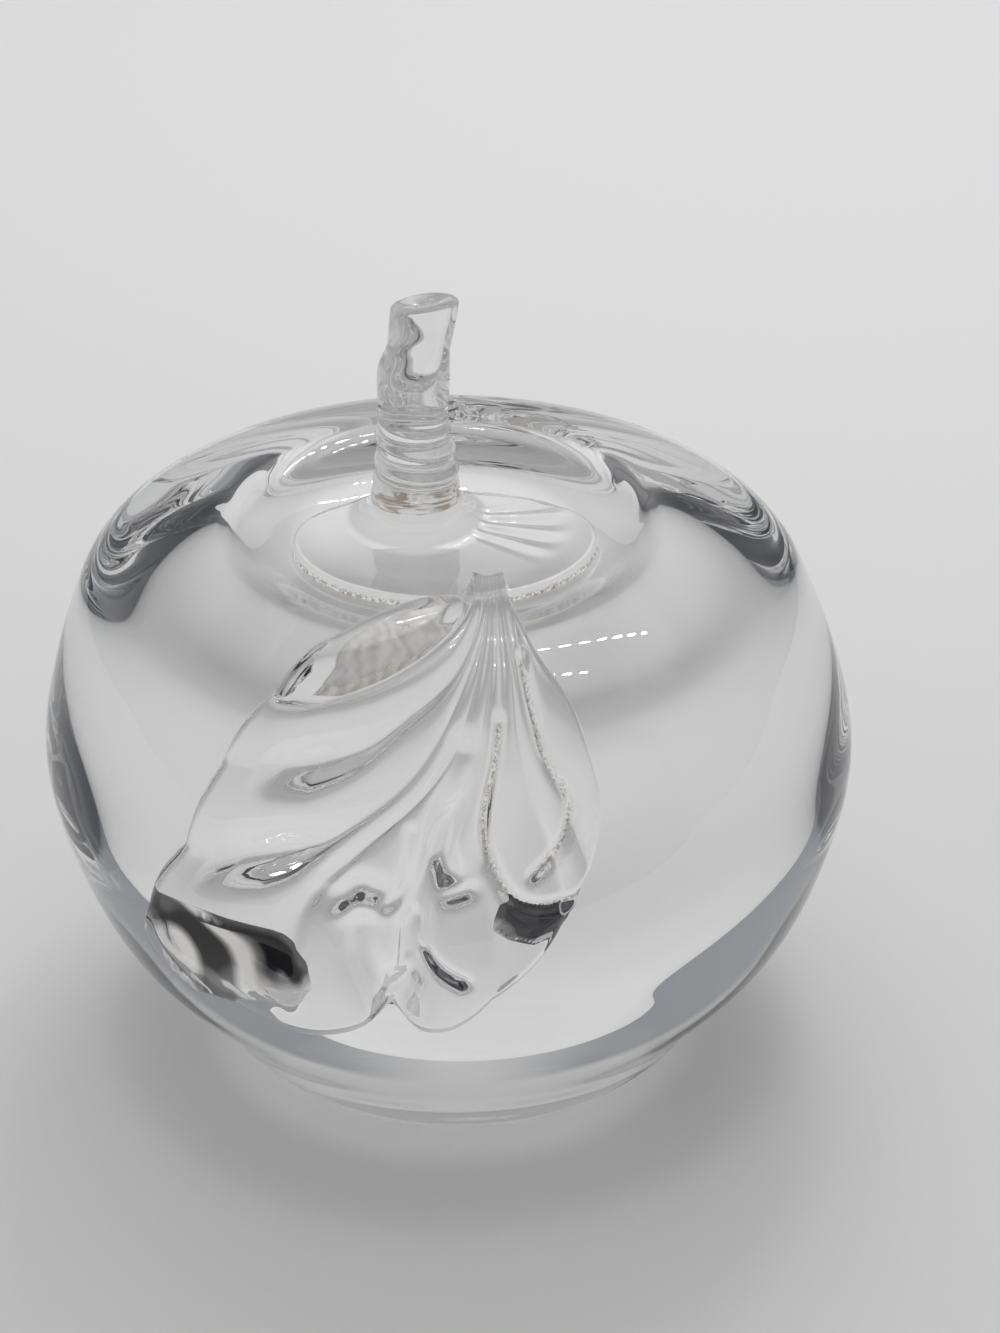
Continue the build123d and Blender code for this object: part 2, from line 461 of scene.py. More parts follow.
# Lines between the flutes, from the neck to the rim: (share of the width, share of the length down)
crease_shares = [
    [(-0.03, 0.02), (-0.08, 0.09), (-0.20, 0.13), (-0.30, 0.19), (-0.37, 0.24)],
    [(-0.02, 0.02), (-0.02, 0.10), (-0.06, 0.19), (-0.14, 0.26), (-0.22, 0.30), (-0.32, 0.33),
     (-0.40, 0.34), (-0.48, 0.33)],
    [(-0.01, 0.02), (0.00, 0.13), (-0.06, 0.30), (-0.17, 0.39), (-0.25, 0.44), (-0.34, 0.47),
     (-0.45, 0.48), (-0.59, 0.46)],
    [(0.00, 0.02), (0.01, 0.16), (-0.08, 0.42), (-0.17, 0.53), (-0.26, 0.59), (-0.37, 0.64),
     (-0.49, 0.65), (-0.60, 0.64), (-0.68, 0.61)],
    [(0.01, 0.02), (0.01, 0.18), (-0.06, 0.45), (-0.15, 0.56), (-0.25, 0.63), (-0.33, 0.69),
     (-0.40, 0.76), (-0.44, 0.86), (-0.49, 0.98)],
    [(0.02, 0.02), (0.02, 0.18), (-0.01, 0.46), (-0.08, 0.60), (-0.14, 0.71), (-0.16, 0.80),
     (-0.17, 0.89), (-0.22, 0.97)],
    [(0.03, 0.02), (0.03, 0.17), (0.02, 0.45), (0.00, 0.60), (0.00, 0.70), (0.01, 0.80), (0.02, 0.89),
     (0.00, 0.95)],
    [(0.04, 0.02), (0.04, 0.14), (0.06, 0.31), (0.07, 0.43), (0.10, 0.55), (0.14, 0.65), (0.16, 0.73),
     (0.17, 0.80)],
    [(0.05, 0.02), (0.06, 0.11), (0.08, 0.30), (0.11, 0.42), (0.14, 0.49), (0.17, 0.57), (0.21, 0.65),
     (0.23, 0.71)],
    [(0.06, 0.03), (0.07, 0.11), (0.10, 0.19), (0.13, 0.25), (0.18, 0.32), (0.22, 0.41), (0.25, 0.53)],
]
# Middle of each flute's end on the rim
flute_end_shares = [
    (-0.43, 0.28), (-0.54, 0.39), (-0.64, 0.53), (-0.75, 0.78), (-0.36, 1.00),
    (-0.11, 1.00), (0.10, 0.88), (0.20, 0.76), (0.25, 0.62),
]
print(len(flute_end_shares), "flutes")

# %% [markdown]
# The board is a flat sheet that is held square to the eye, in front of the leaf. What is drawn on it
# is laid on the apple: a point first slides along the sight line until it meets the skin, and is
# then shifted a little, because what the eye sees is the leaf's outer side, above the skin.

# %% From the board to the skin
def on_board(shares):
    """Shares of the leaf to millimetres on its drawing board."""
    shares = np.array(shares, float)
    return np.column_stack([neck_x + leaf_width * shares[:, 0], neck_up - leaf_length * shares[:, 1]])


drawn_lift = 3.0


def under_the_board(flat):
    """Where points of the board land on the apple's front, with the skin's direction there."""
    low, high = np.zeros(len(flat)), np.ones(len(flat))
    for _ in range(40):
        middle = (low + high) / 2
        radius = np.interp(middle, skin_length, skin_line[:, 0])
        height = np.interp(middle, skin_length, skin_line[:, 1])
        front = -np.sqrt(np.maximum(radius ** 2 - flat[:, 0] ** 2, 0))
        above = front * math.sin(leaf_tilt) + height * math.cos(leaf_tilt) > flat[:, 1]
        high = np.where(above, middle, high)
        low = np.where(above, low, middle)
    slope = np.column_stack([np.interp(middle, skin_length, skin_slope[:, k]) for k in (0, 1)])
    slope /= np.linalg.norm(slope, axis=1)[:, None]
    points = np.column_stack([flat[:, 0], front, height])
    away = np.column_stack([
        slope[:, 1] * points[:, 0] / radius, slope[:, 1] * points[:, 1] / radius, -slope[:, 0]])
    return points, away


def lay_down(flat):
    """Skin points whose places on the leaf's outer side are seen at the given points of the board."""
    guess = flat.copy()
    for _ in range(12):
        points, away = under_the_board(guess)
        seen = lean(points + away * drawn_lift)
        up = seen[:, 1] * math.sin(leaf_tilt) + seen[:, 2] * math.cos(leaf_tilt)
        board = np.column_stack([seen[:, 0], up])
        guess += 0.8 * (flat - board)
    return under_the_board(guess)


# %% [markdown]
# The relief. A flute is thick in its middle and dips towards its creases. Every edge is
# fire-polished round, softly at the rim and the sides and more sharply at the curled tip.

# %% The leaf's thickness
flute_cells = 18
leaf_rows = 150
line_points = 600
crest_height = 4.2
neck_height = 3.2
rim_round = 2.2
tip_round = 0.8
tip_height = 4.4
side_round = 2.2
neck_round = 1.6
joint_sink = -0.02
narrow_flute = 4.5
flute_dip = 0.15
least_thickness = 0.9
print("leaf", neck_height, "mm thick at the neck,", crest_height, "on a flute,", tip_height, "at the tip")

# %% [markdown]
# Every crease has its own depth and width along its length: a fine line near the neck, and on the
# left flutes a wide pit that ends just short of the rim. A kind of crease is a short table of
# (share along it, depth, half width), and the list at the end says which crease is of which kind.

# %% The kinds of crease
groove_crease = [(0.0, 1.2, 0.6), (0.4, 1.8, 0.8), (0.6, 2.4, 1.1), (0.82, 2.6, 1.4),
                 (0.91, 1.6, 1.3), (0.95, 0.0, 1.0), (1.0, 0.0, 1.0)]
pit_crease = [(0.0, 1.0, 0.6), (0.35, 0.9, 0.6), (0.50, 1.4, 0.9), (0.62, 2.4, 1.7), (0.76, 3.0, 2.3),
              (0.84, 1.8, 2.2), (0.89, 0.0, 2.0), (1.0, 0.0, 1.0)]
short_pit_crease = [(0.0, 1.0, 0.6), (0.45, 0.7, 0.6), (0.60, 0.9, 0.8), (0.68, 2.3, 1.8),
                    (0.80, 3.0, 2.3), (0.87, 1.8, 2.2), (0.92, 0.0, 2.0), (1.0, 0.0, 1.0)]
line_crease = [(0.0, 1.0, 0.5), (0.35, 1.0, 0.5), (0.52, 1.6, 0.45), (0.68, 1.8, 0.45),
               (0.72, 0.4, 0.5), (1.0, 0.3, 1.2)]
lobe_crease = [(0.0, 0.8, 0.6), (0.4, 1.4, 0.9), (0.8, 2.4, 1.5), (1.0, 2.6, 1.7)]
oval_crease = [(0.0, 0.8, 0.6), (0.4, 1.4, 0.7), (0.62, 1.3, 0.6), (0.72, 0.0, 0.6), (1.0, 0.0, 1.0)]
faint_crease = [(0.0, 0.6, 0.5), (0.3, 0.7, 0.6), (0.55, 0.0, 0.6), (1.0, 0.0, 1.0)]
edge_crease = [(0.0, 0.0, 1.0), (1.0, 0.0, 1.0)]
crease_kinds = [edge_crease, groove_crease, pit_crease, short_pit_crease, line_crease,
                lobe_crease, oval_crease, faint_crease, faint_crease, edge_crease]
print(len(crease_kinds), "creases")

# %% [markdown]
# The tool left more lines in the lower lobes. Each is drawn on the board, with its depth and half
# width in millimetres. A long oval and a line inside it stand out at the right.

# %% Pressed lines
oval_line = [(0.03, 0.41), (0.02, 0.49), (0.00, 0.57), (0.00, 0.64), (0.05, 0.73), (0.11, 0.75),
             (0.18, 0.74), (0.22, 0.71)]
inner_line = [(0.08, 0.28), (0.11, 0.43), (0.14, 0.50), (0.18, 0.56), (0.17, 0.61), (0.14, 0.66),
              (0.10, 0.69)]
pressed_lines = [
    (oval_line, 1.3, 0.5),
    (inner_line, 0.9, 0.55),
    ([(-0.16, 0.78), (-0.17, 0.84), (-0.16, 0.89)], 1.8, 0.5),
    ([(-0.13, 0.84), (-0.09, 0.87), (-0.05, 0.89)], 1.3, 0.5),
    ([(-0.05, 0.46), (-0.08, 0.53), (-0.10, 0.63), (-0.08, 0.69)], 1.8, 1.3),
    ([(-0.08, 0.73), (-0.04, 0.72)], 0.9, 0.8),
    ([(-0.31, 0.73), (-0.27, 0.71), (-0.24, 0.72)], 1.4, 1.3),
    ([(-0.16, 0.61), (-0.17, 0.68), (-0.19, 0.73), (-0.22, 0.75)], 0.9, 0.6),
    ([(-0.27, 0.79), (-0.26, 0.85), (-0.22, 0.92)], 1.8, 1.7),
]
print(len(pressed_lines), "pressed lines")

# %% [markdown]
# The leaf was hot when it touched the apple, so most of its underside is joined. It stayed loose in
# three places: under the first flute, where old dust crept in, at the tip that was curled away from
# the apple, and in a small pocket at the lower right. Each has its outline on the board, the gap in
# millimetres, and the width over which the gap opens.

# %% Loose places
dusty_loose = ([(-0.10, 0.12), (-0.20, 0.15), (-0.29, 0.20), (-0.36, 0.26), (-0.39, 0.30),
                (-0.32, 0.31), (-0.22, 0.27), (-0.14, 0.22), (-0.09, 0.16)], 0.5, 1.2)
tip_outline = [
    (-0.90, 0.68), (-0.74, 0.715), (-0.68, 0.74), (-0.59, 0.77), (-0.48, 0.80), (-0.43, 0.83),
    (-0.40, 0.87), (-0.39, 0.92), (-0.43, 0.945), (-0.49, 0.92), (-0.54, 0.925), (-0.58, 0.91),
    (-0.62, 0.93), (-0.68, 0.92), (-0.80, 0.95), (-0.95, 0.95),
]
tip_loose = (tip_outline, 0.5, 0.8)
pocket_loose = ([(0.05, 0.74), (0.14, 0.77), (0.19, 0.76), (0.18, 0.81), (0.11, 0.84), (0.06, 0.83),
                 (0.02, 0.81)], 0.5, 0.8)
loose_places = [dusty_loose, tip_loose, pocket_loose]
print(len(loose_places), "loose places")


# %% [markdown]
# The grid. Its columns are closer where the outer two flutes round off to the side, and its rows are
# closer towards the rim, because a small polished edge needs many points.

# %% The leaf's grid
def leaf_columns():
    """Column by column: the flute it lies in and how far across it, from one crease to the next."""
    columns = []
    for flute in range(len(flute_end_shares)):
        steps = np.linspace(0, 1, flute_cells + 1)
        if flute == 0:
            steps = 1 - np.cos(steps * math.pi / 2)
        if flute == len(flute_end_shares) - 1:
            steps = np.sin(steps * math.pi / 2)
        columns += [(flute, across) for across in steps[:-1]]
    return columns + [(len(flute_end_shares) - 1, 1.0)]


def leaf_grid():
    """Flat place of every grid point, with its flute, its share across and along, and the distances."""
    along = np.sin(np.linspace(0, math.pi / 2, leaf_rows))
    lines = []
    for shares in crease_shares:
        fine = even_curve(on_board(shares), line_points)
        share = np.linspace(0, 1, line_points)
        lines.append(np.column_stack([np.interp(along, share, column) for column in fine.T]))
    ends = on_board(flute_end_shares)
    columns = leaf_columns()
    flat = np.zeros((len(columns), leaf_rows, 2))
    width = np.zeros((len(columns), leaf_rows))
    for place, (flute, across) in enumerate(columns):
        left, right = lines[flute], lines[flute + 1]
        bulge = ends[flute] - (left[-1] + right[-1]) / 2
        push = (along ** 5)[:, None] * bulge * (4 * across * (1 - across))
        flat[place] = left + (right - left) * across + push
        width[place] = np.linalg.norm(right - left, axis=1)
    steps = np.linalg.norm(np.diff(flat, axis=1), axis=2)
    run = np.concatenate([np.zeros((len(columns), 1)), np.cumsum(steps, axis=1)], axis=1)
    return columns, along, flat, width, run[:, -1:] - run


# %% [markdown]
# The pressed lines, the loose places and the dust are all drawn as lines or outlines on the board.
# What a point of the grid needs to know is how far it lies from them.

# %% Distances on the board
def rounding(distance, radius):
    """Quarter-round edge: 0 at the edge, 1 beyond the radius."""
    share = np.clip(1 - distance / radius, 0, 1)
    return np.sqrt(1 - share ** 2)


def inside_distance(points, outline):
    """Distance from flat points to a closed outline, positive inside it."""
    start = np.array(outline, float)
    end = np.roll(start, -1, axis=0)
    nearest = np.full(len(points), np.inf)
    inside = np.zeros(len(points), bool)
    for (x0, y0), (x1, y1) in zip(start, end):
        run = np.array([x1 - x0, y1 - y0])
        offset = points - (x0, y0)
        share = np.clip(offset @ run / (run @ run + 1e-12), 0, 1)
        nearest = np.minimum(nearest, np.linalg.norm(offset - share[:, None] * run, axis=1))
        crosses = (y0 > points[:, 1]) != (y1 > points[:, 1])
        rise = y1 - y0 if y1 != y0 else 1e-12
        inside ^= crosses & (points[:, 0] < x0 + (points[:, 1] - y0) * run[0] / rise)
    return np.where(inside, nearest, -nearest)


def line_distance(points, line):
    """Distance from flat points to an open line."""
    nearest = np.full(len(points), np.inf)
    for start, end in zip(line[:-1], line[1:]):
        run = end - start
        offset = points - start
        share = np.clip(offset @ run / (run @ run), 0, 1)
        nearest = np.minimum(nearest, np.linalg.norm(offset - share[:, None] * run, axis=1))
    return nearest


# %% [markdown]
# The outer skin is the plain crest, less the creases on both sides of the flute and less the pressed
# lines. Under it the leaf lies on the apple, and air opens beneath the loose places only.

# %% Heights of the leaf
def pressed(flat):
    """Depth that the pressed lines take off the leaf's crest."""
    points = flat.reshape(-1, 2)
    depth = np.zeros(len(points))
    for shares, deep, spread in pressed_lines:
        line = even_curve(on_board(shares), 40)
        depth = np.maximum(depth, deep * np.exp(-(line_distance(points, line) / spread) ** 2))
    return depth.reshape(flat.shape[:2])


def flute_relief(columns, along, width):
    """Height of the leaf's outer skin above the apple before its edges are rounded."""
    outer = np.zeros_like(width)
    flute_width = {flute: width[place] for place, (flute, _) in enumerate(columns)}
    flute_width[-1] = flute_width[len(flute_end_shares)] = np.full(len(along), leaf_width)
    for place, (flute, across) in enumerate(columns):
        crest = neck_height + (crest_height - neck_height) * smooth_step(along, 0, 0.4)
        wide = smooth_step(width[place], 0, narrow_flute)
        height = crest * (1 - flute_dip * wide * (1 - math.sin(math.pi * across)))
        both_sides = ((flute, across * width[place]), (flute + 1, (1 - across) * width[place]))
        for crease, distance in both_sides:
            table = np.array(crease_kinds[crease])
            depth = np.interp(along, table[:, 0], table[:, 1])
            spread = np.interp(along, table[:, 0], table[:, 2])
            room = np.minimum(flute_width[crease - 1], flute_width[crease])
            depth = depth * smooth_step(room, 0.3 * narrow_flute, narrow_flute)
            height = height - depth * np.exp(-(distance / spread) ** 2)
        outer[place] = height
    return outer


def gap_under(flat):
    """Air between the leaf and the apple at every grid point."""
    points = flat.reshape(-1, 2)
    gap = np.full(len(points), joint_sink)
    for outline, opening, run in loose_places:
        gap = gap + opening * smooth_step(inside_distance(points, on_board(outline)), 0, run)
    return gap.reshape(flat.shape[:2])


# %% [markdown]
# A finish changes from one face to the next, so on a plain grid the edge of a loose place would be a
# staircase. The points next to the outline are moved onto it first, and the faces that it still cuts
# are split from corner to corner.

# %% Clean edges between two finishes
def fit_to_line(places, depth, edges):
    """Move flat places onto the line of depth zero: at each edge that crosses it, the nearer end."""
    crossing = edges[(depth[edges[:, 0]] > 0) != (depth[edges[:, 1]] > 0)]
    best = {}
    for a, b in crossing:
        share = abs(depth[a]) / (abs(depth[a]) + abs(depth[b]) + 1e-12)
        target = places[a] + (places[b] - places[a]) * share
        mover, move = (a, share) if share < 0.5 else (b, 1 - share)
        if mover not in best or move < best[mover][0]:
            best[mover] = (move, target)
    moved, new_depth = places.copy(), depth.copy()
    for mover, (_, target) in best.items():
        moved[mover] = target
        new_depth[mover] = 0
    print("line:", len(crossing), "edges crossed,", len(best), "points moved")
    return moved, new_depth


def split_faces(faces, depth):
    """Split the faces that the outline cuts from corner to corner; tells which faces are joined."""
    whole, joined = [], []
    for face in faces:
        values = [depth[v] for v in face]
        if len(face) == 4 and min(values) < 0 < max(values):
            k = 0 if values[0] == 0 and values[2] == 0 else 1
            parts = [(face[k], face[k + 1], face[k + 2]), (face[k + 2], face[(k + 3) % 4], face[k])]
        else:
            parts = [tuple(face)]
        for part in parts:
            whole.append(part)
            joined.append(sum(depth[v] for v in part) > 0)
    return whole, joined


# %% [markdown]
# Now the heights are put together. The leaf is rounded at the rim, at its two sides and at the neck,
# and the tip is thicker and rounded more sharply, because it curled over itself.

# %% The leaf's two skins
columns, along, leaf_flat, leaf_cell_width, to_rim = leaf_grid()
board_points = leaf_flat.reshape(-1, 2)
last_flute = len(flute_end_shares) - 1
flute_number, across_share = np.array(columns).T[:, :, None]
side = np.where(flute_number == 0, across_share * leaf_cell_width, side_round)
side = np.where(flute_number == last_flute, (1 - across_share) * leaf_cell_width, side)
neck = np.broadcast_to(along * leaf_length, side.shape)
tip_share = smooth_step(inside_distance(board_points, on_board(tip_outline)), 0, 2).reshape(to_rim.shape)
edge = rounding(to_rim, rim_round + (tip_round - rim_round) * tip_share)
edge = edge * rounding(side, side_round) * rounding(neck, neck_round)
inner_height = gap_under(leaf_flat)
crest = flute_relief(columns, along, leaf_cell_width) - pressed(leaf_flat)
crest = np.maximum(crest + (tip_height - crest) * tip_share, inner_height + least_thickness)
outer_height = inner_height + (crest - inner_height) * edge
skin_points, skin_away = lay_down(board_points)
outer_points = skin_points + skin_away * outer_height.reshape(-1, 1)

grid_number = np.arange(to_rim.size).reshape(to_rim.shape)
grid_edges = np.concatenate([
    np.column_stack([grid_number[:-1].ravel(), grid_number[1:].ravel()]),
    np.column_stack([grid_number[:, :-1].ravel(), grid_number[:, 1:].ravel()])])
loose_depth = np.max([
    inside_distance(board_points, on_board(outline)) for outline, _, _ in loose_places], axis=0)
under_flat, under_depth = fit_to_line(board_points, -loose_depth, grid_edges)
under_points, under_away = lay_down(under_flat)
under_gap = gap_under(under_flat.reshape(leaf_flat.shape))
inner_points = under_points + under_away * under_gap.reshape(-1, 1)
print("leaf's grid:", to_rim.shape, "thickest", round(float(outer_height.max()), 2), "mm")


# %% [markdown]
# The upper skin, the underside and a strip all round between them close the leaf.

# %% The leaf
def rim_walk(column_count, row_count):
    """Grid places all round the leaf's edge, in order."""
    walk = [(0, r) for r in range(row_count)]
    walk += [(c, row_count - 1) for c in range(1, column_count)]
    walk += [(column_count - 1, r) for r in range(row_count - 2, -1, -1)]
    return walk + [(c, 0) for c in range(column_count - 2, 0, -1)]


def leaf_skin(number):
    """Faces of the upper skin, of the underside, and of the strip that joins them all round."""
    under = number + number.size
    upper, lower, strip = [], [], []
    for c in range(number.shape[0] - 1):
        for r in range(number.shape[1] - 1):
            upper.append((number[c, r], number[c, r + 1], number[c + 1, r + 1], number[c + 1, r]))
            lower.append((under[c, r], under[c + 1, r], under[c + 1, r + 1], under[c, r + 1]))
    rim = rim_walk(*number.shape)
    for (c0, r0), (c1, r1) in zip(rim, rim[1:] + rim[:1]):
        strip.append((number[c0, r0], under[c0, r0], under[c1, r1], number[c1, r1]))
    return upper, lower, strip


upper_faces, lower_faces, strip_faces = leaf_skin(grid_number)
lower_faces, lower_joined = split_faces(lower_faces, np.concatenate([under_depth, under_depth]))
leaf_faces = [tuple(int(v) for v in face) for face in upper_faces + strip_faces + lower_faces]
leaf = add_piece("leaf_blade", np.concatenate([outer_points, inner_points]), leaf_faces,
                 [leaf_crystal, weld, dusty_crystal, painted_shade_crystal])
report_piece(leaf)

# %% [markdown]
# Where the leaf is joined, the apple's own skin has to vanish as well, and exactly up to the leaf's
# edge. So the apple's mesh is fitted to the outline of the join: every edge that crosses it gets its
# nearer end moved onto it, along the skin, and a face that would still be cut is split in two.

# %% The join on the apple's skin
def skin_place(points):
    """Angle round the apple and distance along its outline, both in millimetres at a fixed radius."""
    radius = np.hypot(points[:, 0], points[:, 1])
    on_top = (radius < skin_line[crown_place, 0]) & (points[:, 2] > apple_height / 2)
    along_side = np.interp(points[:, 2], skin_line[:crown_place, 1], skin_length[:crown_place])
    along_top = np.interp(-radius, -skin_line[crown_place:, 0], skin_length[crown_place:])
    along = np.where(on_top, along_top, along_side)
    return np.column_stack([np.arctan2(points[:, 1], points[:, 0]) * board_radius, along * skin_run])


def on_skin(places):
    """The inverse: points on the apple's skin."""
    angle, share = places[:, 0] / board_radius, places[:, 1] / skin_run
    radius = np.interp(share, skin_length, skin_line[:, 0])
    height = np.interp(share, skin_length, skin_line[:, 1])
    return np.column_stack([radius * np.cos(angle), radius * np.sin(angle), height])


board_radius = 40.0
skin_run = np.sum(np.linalg.norm(np.diff(skin_line, axis=0), axis=1))
rim_places = [c * leaf_rows + r for c, r in rim_walk(len(columns), leaf_rows)]
join_outline = skin_place(skin_points[rim_places])[::2]
loose_outlines = [skin_place(lay_down(on_board(outline))[0]) for outline, _, _ in loose_places]


def join_depth(places):
    """How far a place on the skin lies inside the joined area; negative outside it."""
    depth = inside_distance(places, join_outline)
    for outline in loose_outlines:
        depth = np.minimum(depth, -inside_distance(places, outline))
    return depth


# %% [markdown]
# The body's outline has close rings in the dimple, where the foot is welded on, and wider ones on
# the side. The tree turns it round the middle.

# %% The apple's body
body_turns = 360
side_rings = 130
crown_rings, pulled_rings, foot_rings = 4, 25, 25
flat_rings = 12
side_rows = skin_line[np.linspace(0, crown_place, side_rings + 1).round().astype(int)]
dimple_radii = np.concatenate([
    np.linspace(half_crown, calm_radius, crown_rings + 1)[1:],
    np.linspace(calm_radius, foot_ring_radius, pulled_rings + 1)[1:],
    np.linspace(foot_ring_radius, 0, foot_rings + 1)[1:],
])
dimple_rows = np.column_stack([dimple_radii, dimple_height(dimple_radii)])
flat_radii = np.linspace(0, half_base - base_ease, flat_rings)
flat_rows = np.column_stack([flat_radii, np.zeros_like(flat_radii)])
outline = np.concatenate([flat_rows, side_rows, dimple_rows])
outline_mesh = bpy.data.meshes.new("body_outline")
outline_mesh.from_pydata([(radius, 0, height) for radius, height in outline], [], [])
body_mesh = grown_by_tree("apple", outline_mesh, turning_tree(), {
    "Rings": len(outline), "Turns": body_turns + 1, "Finish": body_crystal})
print("turned skin:", len(outline), "rings,", len(body_mesh.polygons), "faces")

# %% [markdown]
# Only the points in front, near the leaf, have to be compared with the outline of the join. The
# others count as far outside it.

# %% The apple fitted to its stem and leaf
near_reach = 60
far_outside = -99.0


def mesh_points(mesh):
    """The mesh's points as an array."""
    points = np.empty(3 * len(mesh.vertices))
    mesh.vertices.foreach_get("co", points)
    return points.reshape(-1, 3)


body_points = pull_rings(mesh_points(body_mesh))
body_edges = np.array([tuple(edge.vertices) for edge in body_mesh.edges])
body_places = skin_place(body_points)
from_front = np.abs(body_places[:, 0] + board_radius * math.pi / 2)
near_leaf = (body_points[:, 1] < 0) & (body_points[:, 2] > 1) & (from_front < near_reach)
body_depth = np.full(len(body_points), far_outside)
body_depth[near_leaf] = join_depth(body_places[near_leaf])
fitted_places, fitted_depth = fit_to_line(body_places, body_depth, body_edges)
is_moved = fitted_depth != body_depth
body_points[is_moved] = on_skin(fitted_places[is_moved])
whole_faces = [tuple(polygon.vertices) for polygon in body_mesh.polygons]
body_faces, body_joined = split_faces(whole_faces, fitted_depth)
apple = add_piece("apple", body_points, body_faces, [body_crystal, weld])
bpy.data.meshes.remove(body_mesh)
report_piece(apple)

# %% [markdown]
# The stem was a second gather, dropped into the dimple while it was runny. It spread into a thin
# oval foot, and the rest was pulled up, twisted and cut with shears, which pinched its end to an
# oval. It is one skin of rings: they start under the foot, go round its edge, run over its top to
# the stalk, climb it with their own width, depth and twist, and close over the lip.

# %% Sizes of the stem
foot_film = 1.1
foot_edge_width = 0.9
fillet_radius = 3.4
stem_x = -2.8
stem_y = 7.0
stem_base_height = dimple_height(math.hypot(stem_x, stem_y))
stem_turns = 288
# Height share, place to the right, half width, half depth of the stalk, from the foot to the lip
stalk_shape = [
    (0.00, 0.1, 4.95, 4.90), (0.08, 0.2, 4.70, 4.65), (0.22, 0.3, 4.33, 4.20), (0.36, 0.2, 3.98, 3.80),
    (0.52, 0.3, 3.95, 3.40), (0.66, 0.5, 3.85, 3.20), (0.78, 1.1, 3.33, 3.00), (0.89, 1.6, 3.50, 2.50),
    (1.00, 2.0, 3.75, 2.05),
]
stalk_curve = fair_curve(stalk_shape, 500)
stalk_root = stalk_shape[0][2]
lip_round = 0.75
lip_tilt = 0.35
lip_reach = 2.6
lip_dish = 0.25
ripple_swell, ripple_pitch = 0.2, 2.7
facet_swell = 0.14
fold_height = 0.16
under_rings = 26
print("stalk", stalk_root * 2, "mm wide at its root, top", round(stem_top - stem_base_height, 1), "mm up")

# %% [markdown]
# The foot lies on the dimple's own skin, with a rounded edge and a fillet up to the stalk. To the
# right of the stalk the cooling glass was dragged and kept a fan of shallow folds.

# %% The foot
def foot_rows(turns):
    """Rings of the foot: its underside from the middle out, then its top in to the stalk."""
    angle = math.tau * np.arange(turns) / turns
    edge = foot_edge_radius(angle)
    outward = np.column_stack([np.cos(angle), np.sin(angle)])
    rim = outward * edge[:, None]
    rows = [np.array([[0, 0, dimple_height(0)]])]
    for share in np.linspace(0, 1, under_rings + 1)[1:]:
        flat = rim * share
        rows.append(np.column_stack([flat, dimple_height(np.hypot(*flat.T))]))
    middle = np.array([stem_x + stalk_shape[0][1], stem_y])
    root = middle + outward * stalk_root
    for step in np.linspace(0, 1, 70)[1:]:
        share = 0.5 - 0.5 * math.cos(math.pi * step)
        flat = rim + (root - rim) * share
        from_edge = np.linalg.norm(flat - rim, axis=1)
        from_stalk = np.linalg.norm(flat - middle, axis=1) - stalk_root
        edge_share = np.clip(1 - from_edge / foot_edge_width, 0, 1)
        film = foot_film * np.sqrt(1 - edge_share ** 2)
        reach = np.clip(1 - from_stalk / fillet_radius, 0, 1)
        fillet = fillet_radius * (1 - np.sqrt(1 - reach ** 2))
        height = dimple_height(np.hypot(*flat.T)) + film + fillet + stretch_folds(flat)
        rows.append(np.column_stack([flat, height]))
    return rows


def stretch_folds(flat):
    """Shallow creases in the foot, to the right of the stalk, where the cooling glass was dragged."""
    across, up = flat[:, 0] - stem_x, flat[:, 1] - stem_y
    angle = np.degrees(np.arctan2(up, across))
    reach = np.hypot(across, up)
    sector = smooth_step(angle, -42, -22) * smooth_step(angle, 16, 4)
    window = sector * smooth_step(reach, 6, 9) * smooth_step(reach, 18, 14)
    return fold_height * window * np.sin(np.radians(angle * 26 + 8 * reach))


# %% [markdown]
# The stalk's rings read their place and half widths from the fair curve through the table. Waves that
# climb round the lower part are left from the pull, and the upper part is slightly faceted.

# %% The stalk
def stalk_rows(turns):
    """Rings of the stalk from the fillet up to the lip, and over it to the middle."""
    angle = math.tau * np.arange(turns) / turns
    start = stem_base_height + foot_film + fillet_radius
    height = stem_top - lip_round - lip_tilt - start
    rows = []
    for share in np.linspace(0, 1, 90)[1:]:
        sizes = [float(np.interp(share, stalk_curve[:, 0], stalk_curve[:, k])) for k in (1, 2, 3)]
        rows.append(stalk_ring(angle, start + height * share, share, *sizes))
    top = rows[-1]
    middle = top.mean(axis=0)
    for turn in np.linspace(0, math.pi / 2, 9)[1:]:
        inset = lip_round * (1 - math.cos(turn))
        shrink = 1 - inset / lip_reach
        ring = middle + (top - middle) * shrink
        ring[:, 2] = top[:, 2] + lip_round * math.sin(turn)
        rows.append(ring)
    flat = rows[-1]
    for shrink in np.linspace(1, 0, 10)[1:-1]:
        ring = middle + (flat - middle) * shrink
        ring[:, 2] = flat[:, 2] - lip_dish * smooth_step(1 - shrink, 0, 0.8)
        rows.append(ring)
    rows.append(np.array([[middle[0], middle[1], rows[-1][0, 2]]]))
    return rows


def stalk_ring(angle, z, share, shift, half_w, half_d):
    """One ring of the stalk, with its place, its twist and the ripples of the pull."""
    centre_x = stem_x + shift
    ripple_window = smooth_step(share, 0.06, 0.14) * smooth_step(share, 0.44, 0.34)
    ripple = ripple_swell * ripple_window * np.sin(angle + math.tau * z / ripple_pitch)
    facet = facet_swell * smooth_step(share, 0.3, 0.5) * np.cos(2 * angle - 2.6 * share * math.pi)
    swell_out = ripple + facet
    return np.column_stack([
        centre_x + (half_w + swell_out) * np.cos(angle),
        stem_y + (half_d + swell_out) * np.sin(angle),
        np.full(len(angle), z) + lip_tilt * smooth_step(share, 0.8, 1) * np.cos(angle),
    ])


# %% [markdown]
# All rings are numbered in one run, from under the foot to the middle of the lip, and closed.

